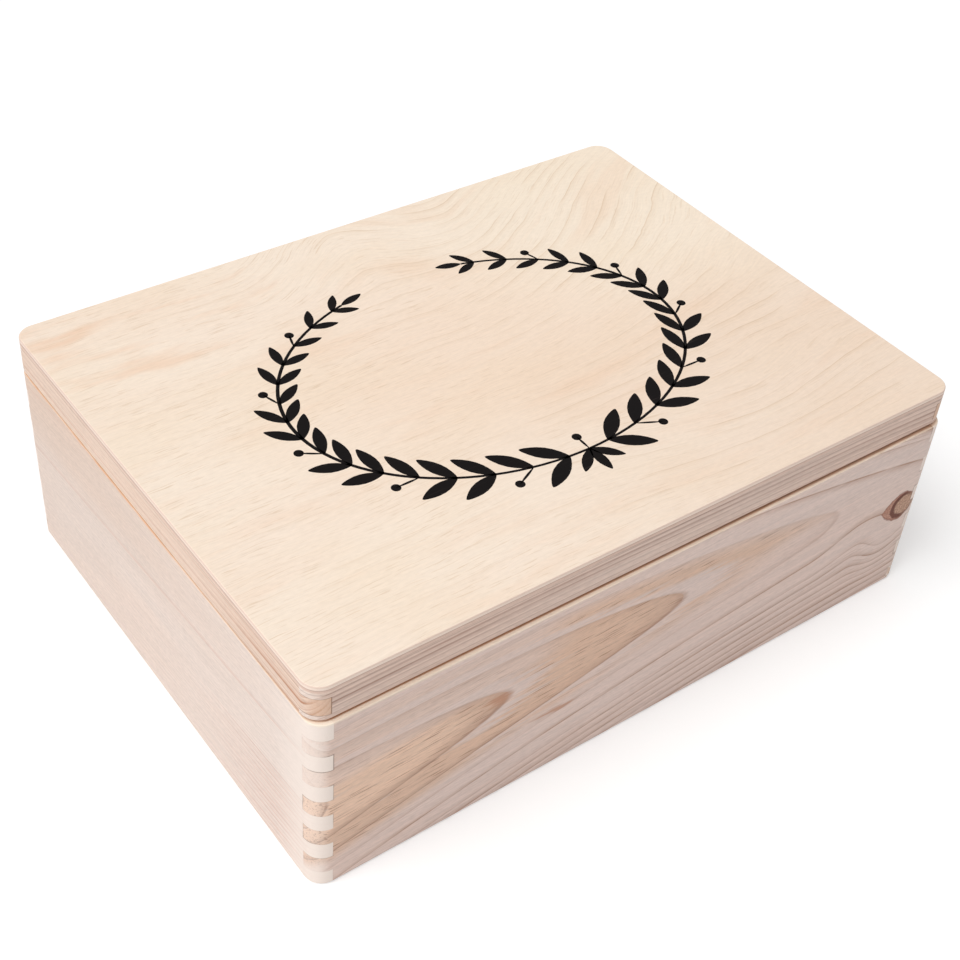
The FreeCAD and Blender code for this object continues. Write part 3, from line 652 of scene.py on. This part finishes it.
def ply_layer_group():
    """A panel's plies on its edge, by height above the underside: a pale one over a flecked core."""
    tree, graph, given, result = new_group(
        "ply layers",
        {"Vector": (VECTOR, None), "Underside": (NUMBER, 0.0), "Thickness": (NUMBER, 4 * MM)},
        {"Edge": NUMBER, "Round": NUMBER, "Core": NUMBER, "Glue": NUMBER},
    )
    _, _, z = graph.split(given["Vector"])
    waver = graph.product(graph.math("SUBTRACT", graph.noise(given["Vector"], 30), 0.5), 0.06)
    share = graph.math("DIVIDE", graph.math("SUBTRACT", z, given["Underside"]), given["Thickness"])
    from_middle = graph.math("ABSOLUTE", graph.math("SUBTRACT", share, 0.5))
    wavy_share = graph.math("ADD", share, waver)
    graph.feed(result["Edge"], graph.ramp(from_middle, 0.495, 0.46))
    # Painted shade: a band on the rounded upper edge.
    graph.feed(result["Round"], graph.band(share, 0.88, 0.07, 0.03))
    graph.feed(result["Core"], graph.ramp(wavy_share, 0.42, 0.38))
    graph.feed(result["Glue"], graph.band(wavy_share, 0.40, 0.025, 0.05))
    return tree


PINE = pine_group()
KNOT = knot_group()
STREAK = streak_group()
FINGER_SEAMS = finger_seam_group()
TONGUE_SEAMS = tongue_seam_group()
RIM_LIGHT_AND_SHADE = rim_light_group()
VENEER = veneer_group()
PLY_LAYERS = ply_layer_group()


def new_material(name, roughness=0.6, specular=0.25):
    """A material with an empty graph round one Principled shader."""
    material = bpy.data.materials.new(name)
    material.use_nodes = True
    graph = Graph(material.node_tree)
    shader = material.node_tree.nodes["Principled BSDF"]
    shader.inputs["Roughness"].default_value = roughness
    shader.inputs["Specular IOR Level"].default_value = specular
    place = graph.node("TexCoord").outputs["Object"]
    return material, graph, shader, place


def add_relief(graph, shader, height, distance):
    """Bump in which a height of 1 stands for the given distance."""
    bump = graph.node("Bump")
    bump.inputs["Strength"].default_value = 1.0
    bump.inputs["Distance"].default_value = distance
    graph.feed(bump.inputs["Height"], height)
    graph.feed(shader.inputs["Normal"], bump.outputs["Normal"])


def pine_material(name, pith, turn, seams, ends="X", end_tint=END_GRAIN_AND_HIGHLIGHT, end_share=0.75, knot=None,
                  streaks=(), warm_back=None, **figure):
    """Pine from a log whose pith passes through a point, running along the turned X axis.

    The board's ends face along X or Y and get a pale tint, partly a painted highlight on the rounded
    corners. A streak is a place, half its length and half its height. A warm back is a tint that grows to
    the back and the rim, and a board that has one is pale at its front end, partly a painted highlight there
    too.
    """
    material, graph, shader, place = new_material(f"pine_{name}")
    log = graph.place(place, pith, turn)
    if knot:
        centre, size = knot
        branch = graph.group(KNOT, Place=graph.place(place, centre), Size=size)
        figure["Push"] = branch["Push"]
    wood = graph.group(PINE, Log=log, **figure)
    joint = graph.group(seams, Vector=place)
    colour = wood["Color"]
    if warm_back:
        _, y, z = graph.split(place)
        near_rim = graph.math("MULTIPLY_ADD", graph.ramp(z, 0.50 * RIM, 0.85 * RIM), 0.65, 0.35)
        tinted = graph.product(graph.ramp(y, -HALF_DEPTH, HALF_DEPTH), near_rim)
        colour = graph.mix(tinted, colour, graph.mix(1.0, colour, warm_back, blend="MULTIPLY"))
        # Painted highlight: paler towards the front end, on the rounded corner.
        front_end_highlight = graph.ramp(y, 40 * MM - HALF_DEPTH, 4 * MM - HALF_DEPTH)
        colour = graph.mix(graph.product(front_end_highlight, end_share), colour, end_tint)
    for centre, half_length, half_height in streaks:
        resin = graph.group(STREAK, Place=graph.place(place, centre), Half_Length=half_length,
                            Half_Height=half_height)
        colour = graph.mix(graph.product(resin["Streak"], 0.75), colour, RESIN)
    if knot:
        collar = graph.mix(branch["Grain"], COLLAR_DARK, COLLAR_PALE)
        colour = graph.mix(graph.product(branch["Collar"], 0.85), colour, collar)
        colour = graph.mix(graph.product(branch["Outline"], 0.7), colour, COLLAR_OUTLINE)
        eye = graph.mix(branch["Grain"], KNOT_EYE_DARK, KNOT_EYE_PALE)
        colour = graph.mix(branch["Eye"], colour, eye)
        colour = graph.mix(graph.product(branch["Rim"], 0.95), colour, KNOT_BARK)
    # Pale tint on the joints' ends, partly a painted highlight on the rounded corners.
    unflamed = graph.math("MULTIPLY_ADD", wood["Flame"], -0.65, 1.0)
    colour = graph.mix(graph.product(joint[f"End {ends}"], unflamed, end_share), colour, end_tint)
    # Painted highlight on the ledge and painted shade in the gap under the lid.
    rim = graph.group(RIM_LIGHT_AND_SHADE, Vector=place)
    colour = graph.mix(rim["Share"], colour, rim["Color"])
    colour = graph.mix(graph.product(joint["Seam"], 0.65), colour, SEAM_BROWN)
    graph.feed(shader.inputs["Base Color"], colour)
    graph.feed(shader.inputs["Roughness"], wood["Roughness"])
    height = graph.math("SUBTRACT", wood["Height"], graph.product(joint["Seam"], 1.5))
    add_relief(graph, shader, height, PINE_RELIEF)
    return material


def plywood_material(name, underside, thickness, shift=(0.0, 0.0, 0.0), **veneer):
    """Plywood with a face veneer on both sides, a darker core and painted shade on its rounded upper edge.
    """
    material, graph, shader, place = new_material(f"plywood_{name}")
    face = graph.group(VENEER, Vector=graph.place(place, shift), **veneer)
    layers = graph.group(PLY_LAYERS, Vector=place, Underside=underside, Thickness=thickness)
    core_fleck = graph.noise(graph.stretch(place, 300, 60, 900), detail=2)
    core = graph.mix(core_fleck, PLY_CORE_DARK, PLY_CORE_PALE)
    colour = graph.mix(graph.product(layers["Edge"], 0.8), face["Color"], PLY_EDGE)
    # Painted shade on the rounded upper edge, darkening its highlight.
    colour = graph.mix(graph.product(layers["Round"], 0.5), colour, PLY_ROUND_SHADE)
    colour = graph.mix(graph.product(layers["Core"], layers["Edge"]), colour, core)
    colour = graph.mix(graph.product(layers["Glue"], 0.6), colour, PLY_GLUE)
    graph.feed(shader.inputs["Base Color"], colour)
    graph.feed(shader.inputs["Roughness"], face["Roughness"])
    height = graph.math("SUBTRACT", face["Height"], graph.product(layers["Glue"], 0.5))
    add_relief(graph, shader, height, PLYWOOD_RELIEF)
    return material


def brass_material(name, dark, bright):
    """Rolled brass: drawn along X, between a dark and a bright tone, and lightly tarnished."""
    material, graph, shader, place = new_material(f"brass_{name}")
    drawn = graph.noise(graph.stretch(place, 60, 2600, 2600), detail=3)
    tarnish = graph.ramp(graph.noise(place, 240, detail=3), 0.42, 0.72)
    colour = graph.mix(drawn, dark, bright)
    colour = graph.mix(graph.product(tarnish, 0.45), colour, TARNISH)
    graph.feed(shader.inputs["Base Color"], colour)
    shader.inputs["Metallic"].default_value = 1.0
    roughness = graph.total(0.24, graph.product(drawn, 0.12), graph.product(tarnish, 0.2))
    graph.feed(shader.inputs["Roughness"], roughness)
    add_relief(graph, shader, drawn, BRASS_RELIEF)
    return material


def ink_material():
    """Black ink on bare wood: matt, and a little thinner where it sank into the grain."""
    material, graph, shader, place = new_material("ink", roughness=0.8, specular=0.05)
    grain = graph.noise(graph.stretch(place, 45, 900, 0), detail=2)
    thin = graph.ramp(grain, 0.60, 0.80)
    colour = graph.mix(thin, INK_FULL, INK_THIN)
    graph.feed(shader.inputs["Base Color"], colour)
    return material


def finish_node(name, material):
    """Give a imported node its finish."""
    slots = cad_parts[name].data.materials
    slots.clear()
    slots.append(material)


def finish_boards():
    """The front and the left board follow the photograph, and the other two are made up to match."""
    finish_node("front_board", pine_material(
        "front", pith=(0.0, -0.1221, 0.07955), turn=(0.0, -0.0421, 0.0), seams=FINGER_SEAMS,
        knot=((0.1835, -0.150, 0.0625), 9.0 * MM),
        streaks=(((-0.099, -0.150, 0.0733), 10 * MM, 4.5 * MM),
                 ((-0.061, -0.150, 0.0428), 16 * MM, 2.2 * MM)),
        Sweep=-0.285, Taper=0.086, Wander=2.5 * MM, Uneven=0.05, Ring_Phase=-2.094, Ring_Seed=510,
        Ring_Width=9.6 * MM, Outer_Ring_Width=5.2 * MM, Outer_Start=58.5 * MM,
        Heart_Radius=29 * MM, Heart_Fade=9 * MM, Heart_Lean=4.5 * MM, Pale_Core=20 * MM, Line_Strength=1.25,
        Upper_Flame=0.35, Upper_Line=0.45, Upper_Fade_Start=-65 * MM, Lower_Fill_Start=-135 * MM))
    finish_node("back_board", pine_material(
        "back", pith=(0.0, 0.118, 0.045), turn=(0.0, 0.03, 0.0), seams=FINGER_SEAMS,
        knot=((-0.062, 0.150, 0.078), 6.0 * MM),
        Taper=-0.07, Ring_Width=7.5 * MM, Outer_Ring_Width=3.6 * MM, Outer_Start=52 * MM,
        Heart_Radius=34 * MM, Heart_Fade=10 * MM))
    finish_node("left_side_board", pine_material(
        "left", pith=(-0.150, 0.0, 0.300), turn=(0.0, 0.087, QUARTER_TURN), seams=FINGER_SEAMS, ends="Y",
        warm_back=rgb(248, 239, 231),
        Uneven=0.0, Ring_Width=40 * MM, Outer_Ring_Width=3.4 * MM, Outer_Start=258 * MM, Ring_Phase=-0.65,
        Heart_Radius=10 * MM, Line_Strength=0.75, Outer_Reach=-60 * MM, Outer_Rest=0.1,
        Sapwood=rgb(233, 218, 208), Latewood=rgb(210, 168, 152)))
    finish_node("right_side_board", pine_material(
        "right", pith=(0.150, 0.0, -0.045), turn=(0.0, 0.0, QUARTER_TURN), seams=FINGER_SEAMS, ends="Y",
        Taper=0.06, Ring_Width=5.4 * MM, Outer_Ring_Width=3.4 * MM, Outer_Start=110 * MM,
        Heart_Radius=60 * MM, Heart_Fade=20 * MM, Line_Strength=0.6))


def finish_lid_frame():
    """Rails with close lines. The side rails are warmer, and the ends of their tongues are tan."""
    rail_lines = {"Ring_Width": 2.6 * MM, "Outer_Ring_Width": 2.6 * MM, "Outer_Start": 400 * MM,
                  "Uneven": 0.6, "Heart_Radius": 5 * MM,
                  "Sapwood": rgb(233, 210, 196), "Latewood": rgb(172, 136, 120)}
    finish_node("lid_front_rail", pine_material(
        "lid_front", pith=(0.0, -0.30, -0.03), turn=(0.0, 0.012, 0.0), seams=TONGUE_SEAMS,
        end_share=0.55, Sweep=-0.08, Wander=4 * MM, Line_Strength=0.95, **rail_lines))
    finish_node("lid_back_rail", pine_material(
        "lid_back", pith=(0.0, 0.30, 0.0), turn=(0.0, 0.012, 0.0), seams=TONGUE_SEAMS,
        end_share=0.55, **rail_lines))
    side_lines = dict(rail_lines, Outer_Start=0.0, Line_Strength=0.75,
                      Sapwood=rgb(237, 215, 198), Latewood=rgb(190, 134, 100))
    tongue_end = rgb(222, 182, 154)
    finish_node("lid_left_rail", pine_material(
        "lid_left", pith=(-0.33, 0.0, 0.25), turn=(0.0, 0.01, QUARTER_TURN), seams=TONGUE_SEAMS, ends="Y",
        end_tint=tongue_end, end_share=0.6, Outer_Reach=-60 * MM, Outer_Rest=0.45, **side_lines))
    finish_node("lid_right_rail", pine_material(
        "lid_right", pith=(0.33, 0.0, 0.0), turn=(0.0, -0.01, QUARTER_TURN), seams=TONGUE_SEAMS, ends="Y",
        end_tint=tongue_end, end_share=0.6, **side_lines))


def finish_panels():
    finish_node("lid_top_panel", plywood_material("lid", PANEL_LOW.z, PANEL_HIGH.z - PANEL_LOW.z))
    finish_node("bottom_panel", plywood_material(
        "bottom", BOTTOM_LOW.z, BOTTOM_HIGH.z - BOTTOM_LOW.z, shift=(0.31, 0.22, 0.0),
        Light=rgb(238, 218, 194), Line=rgb(212, 180, 146)))


def finish_hinges():
    plate = brass_material("plate", dark=rgb(208, 168, 98), bright=rgb(228, 194, 124))
    screw = brass_material("screw", dark=rgb(150, 112, 62), bright=rgb(176, 136, 80))
    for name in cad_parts:
        if "leaf" in name or "pin" in name:
            finish_node(name, plate)
        elif "screws" in name:
            finish_node(name, screw)


# The wreath: two sprigs that start together at the front of an oval and end apart at the back. Leaves lose
# a share of their size towards the tips. The tip leaves, the foot's leaves and the stalks are shares of it.
WREATH_WIDTH = 0.235
WREATH_DEPTH = 0.172
SPRIG_ANGLE = math.radians(160)
STEM_WIDTH = 1.5 * MM
LEAF_PAIRS = 16
LEAF_LENGTH = 26 * MM
LEAF_WIDTH = 8.5 * MM
LEAF_SPREAD = math.radians(38)
LEAF_POINT = 0.45
LEAF_SEGMENTS = 20
FIRST_PAIR = 0.6
LAST_LEAF_LOSS = 0.42
TIP_LEAF = 0.6
BERRY_EVERY = 3
BERRY_RADIUS = 2.6 * MM
BERRY_SEGMENTS = 16
STALK_WIDTH = 1.4 * MM
STALK_SHARE = 0.6
STEM_STEPS = 48
FOOT_LEAF = 0.7
FOOT_SPREAD = math.radians(45)
FOOT_STALK = 0.4
INK_DEPTH = 0.05 * MM


def oval_point(angle):
    """A place on the wreath's oval and the heading along it. The angle runs from the front to the right."""
    half_width, half_depth = WREATH_WIDTH / 2, WREATH_DEPTH / 2
    place = Vector((half_width * math.sin(angle), -half_depth * math.cos(angle), 0.0))
    heading = math.atan2(half_depth * math.sin(angle), half_width * math.cos(angle))
    return place, heading


def add_leaf(shape, place, heading, length, width):
    """A flat pointed leaf that starts at a place."""
    made = bmesh.ops.create_circle(shape, cap_ends=True, segments=LEAF_SEGMENTS, radius=0.5)
    for vertex in made["verts"]:
        vertex.co.y *= 1.0 - (2 * vertex.co.x) ** 2 * LEAF_POINT
    size = Matrix.Diagonal((length, width, 1.0, 1.0)) @ Matrix.Translation((0.5, 0.0, 0.0))
    turned = Matrix.Translation(place) @ Matrix.Rotation(heading, 4, "Z") @ size
    bmesh.ops.transform(shape, matrix=turned, verts=made["verts"])


def add_berry(shape, place, heading, length):
    """A berry at the end of a stalk that starts at a place."""
    add_leaf(shape, place, heading, length, STALK_WIDTH)
    made = bmesh.ops.create_circle(shape, cap_ends=True, segments=BERRY_SEGMENTS, radius=BERRY_RADIUS)
    reach = Matrix.Rotation(heading, 3, "Z") @ Vector((length, 0.0, 0.0))
    bmesh.ops.translate(shape, vec=place + reach, verts=made["verts"])


def add_stem(shape, side):
    """A strip along one half of the oval, as the first thing in a shape."""
    ends = [shape.verts.new((0.0, -1.0 + lean * STEM_WIDTH / WREATH_DEPTH, 0.0)) for lean in (-1, 1)]
    edge = shape.edges.new(ends)
    bmesh.ops.spin(shape, geom=ends + [edge], axis=(0, 0, 1), angle=side * SPRIG_ANGLE, steps=STEM_STEPS)
    oval = Matrix.Diagonal((WREATH_WIDTH / 2, WREATH_DEPTH / 2, 1.0, 1.0))
    bmesh.ops.transform(shape, matrix=oval, verts=shape.verts[:])


def ink_piece(name, shape, ink):
    """Turn flat outlines round the wreath's middle into a thin raised layer on the lid."""
    raised = bmesh.ops.extrude_face_region(shape, geom=shape.faces[:])
    lifted = [part for part in raised["geom"] if isinstance(part, bmesh.types.BMVert)]
    bmesh.ops.translate(shape, vec=(0, 0, 2 * INK_DEPTH), verts=lifted)
    middle = (PANEL_LOW + PANEL_HIGH) / 2
    bmesh.ops.translate(shape, vec=(middle.x, middle.y, PANEL_HIGH.z - INK_DEPTH), verts=shape.verts[:])
    bmesh.ops.recalc_face_normals(shape, faces=shape.faces[:])
    mesh = bpy.data.meshes.new(name)
    shape.to_mesh(mesh)
    shape.free()
    mesh.materials.append(ink)
    piece = bpy.data.objects.new(name, mesh)
    bpy.context.scene.collection.objects.link(piece)
    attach(piece, "lid")


def add_sprig(name, side, ink):
    """A stem with pairs of leaves that grow smaller. In every third pair a berry is the outer one."""
    shape = bmesh.new()
    add_stem(shape, side)
    backwards = math.pi if side < 0 else 0.0
    for step in range(LEAF_PAIRS):
        share = (step + FIRST_PAIR) / LEAF_PAIRS
        place, heading = oval_point(side * share * SPRIG_ANGLE)
        scale = 1.0 - LAST_LEAF_LOSS * share
        for lean in (-1, 1):
            leaf_heading = heading + backwards + lean * LEAF_SPREAD
            if step % BERRY_EVERY == 1 and lean == -side:
                add_berry(shape, place, leaf_heading, LEAF_LENGTH * STALK_SHARE * scale)
            else:
                add_leaf(shape, place, leaf_heading, LEAF_LENGTH * scale, LEAF_WIDTH * scale)
    tip, heading = oval_point(side * SPRIG_ANGLE)
    add_leaf(shape, tip, heading + backwards, LEAF_LENGTH * TIP_LEAF, LEAF_WIDTH * TIP_LEAF)
    ink_piece(name, shape, ink)


def add_foot(name, ink):
    """Three leaves that fan out forwards where the sprigs start, and a berry behind them."""
    shape = bmesh.new()
    start, _ = oval_point(0.0)
    for lean in (-1, 0, 1):
        leaf_heading = lean * FOOT_SPREAD - QUARTER_TURN
        add_leaf(shape, start, leaf_heading, LEAF_LENGTH * FOOT_LEAF, LEAF_WIDTH * FOOT_LEAF)
    add_berry(shape, start, QUARTER_TURN, LEAF_LENGTH * FOOT_STALK)
    ink_piece(name, shape, ink)


def add_wreath():
    ink = ink_material()
    add_sprig("inked_sprig_right", 1, ink)
    add_sprig("inked_sprig_left", -1, ink)
    add_foot("inked_sprig_foot", ink)


def add_camera():
    data = bpy.data.cameras.new("camera")
    data.lens = CAMERA_LENS
    data.sensor_width = CAMERA_SENSOR
    data.dof.use_dof = False
    camera = bpy.data.objects.new("camera", data)
    bpy.context.scene.collection.objects.link(camera)
    flat = math.cos(CAMERA_DIP)
    forward = Vector((math.sin(CAMERA_HEADING) * flat,
                      math.cos(CAMERA_HEADING) * flat,
                      -math.sin(CAMERA_DIP)))
    level_right = Vector((math.cos(CAMERA_HEADING), -math.sin(CAMERA_HEADING), 0.0))
    level_down = forward.cross(level_right)
    right = math.cos(CAMERA_ROLL) * level_right + math.sin(CAMERA_ROLL) * level_down
    down = math.cos(CAMERA_ROLL) * level_down - math.sin(CAMERA_ROLL) * level_right
    turn = Matrix((right, -down, -forward)).transposed()
    camera.matrix_world = Matrix.Translation(CAMERA_PLACE) @ turn.to_4x4()
    bpy.context.scene.camera = camera


def add_sun():
    data = bpy.data.lights.new("window_light", "SUN")
    data.energy = SUN_STRENGTH
    data.angle = SUN_ANGLE
    sun = bpy.data.objects.new("window_light", data)
    sun.rotation_mode = "QUATERNION"
    sun.rotation_quaternion = SUN_FROM.to_track_quat("Z", "Y")
    bpy.context.scene.collection.objects.link(sun)


def add_lamp():
    data = bpy.data.lights.new("front_left_lamp", "AREA")
    data.energy = LAMP_POWER
    data.size = LAMP_SIZE
    lamp = bpy.data.objects.new("front_left_lamp", data)
    lamp.location = LAMP_PLACE
    lamp.rotation_mode = "QUATERNION"
    lamp.rotation_quaternion = (LAMP_PLACE - LAMP_AIM).to_track_quat("Z", "Y")
    bpy.context.scene.collection.objects.link(lamp)


def seen_directly(graph):
    """1 for what the camera sees, straight, in a reflection or through glass."""
    path = graph.node("LightPath").outputs
    direct = graph.math("MAXIMUM", path["Is Camera Ray"], path["Is Glossy Ray"])
    return graph.math("MAXIMUM", direct, path["Is Transmission Ray"])


def add_sky():
    world = bpy.data.worlds.new("studio")
    world.use_nodes = True
    bpy.context.scene.world = world
    graph = Graph(world.node_tree)
    background = world.node_tree.nodes["Background"]
    background.inputs["Color"].default_value = (1, 1, 1, 1)
    seen = seen_directly(graph)
    strength = graph.math("MULTIPLY_ADD", seen, 1.0 - SKY_STRENGTH, SKY_STRENGTH)
    graph.feed(background.inputs["Strength"], strength)


def add_floor():
    shape = bmesh.new()
    bmesh.ops.create_grid(shape, x_segments=1, y_segments=1, size=FLOOR_SIZE / 2)
    mesh = bpy.data.meshes.new("floor")
    shape.to_mesh(mesh)
    shape.free()
    floor = bpy.data.objects.new("floor", mesh)
    bpy.context.scene.collection.objects.link(floor)
    material, graph, shader, _ = new_material("floor", roughness=0.9, specular=0.0)
    seen = seen_directly(graph)
    bounce = (FLOOR_BOUNCE, FLOOR_BOUNCE, FLOOR_BOUNCE, 1)
    shown = (FLOOR_SEEN, FLOOR_SEEN, FLOOR_SEEN, 1)
    graph.feed(shader.inputs["Base Color"], graph.mix(seen, bounce, shown))
    shader.inputs["Emission Color"].default_value = (1, 1, 1, 1)
    graph.feed(shader.inputs["Emission Strength"], graph.product(seen, FLOOR_GLOW))
    mesh.materials.append(material)


finish_boards()
finish_lid_frame()
finish_panels()
finish_hinges()
add_wreath()
add_camera()
add_sun()
add_lamp()
add_sky()
add_floor()
bpy.context.scene.view_settings.view_transform = "Standard"
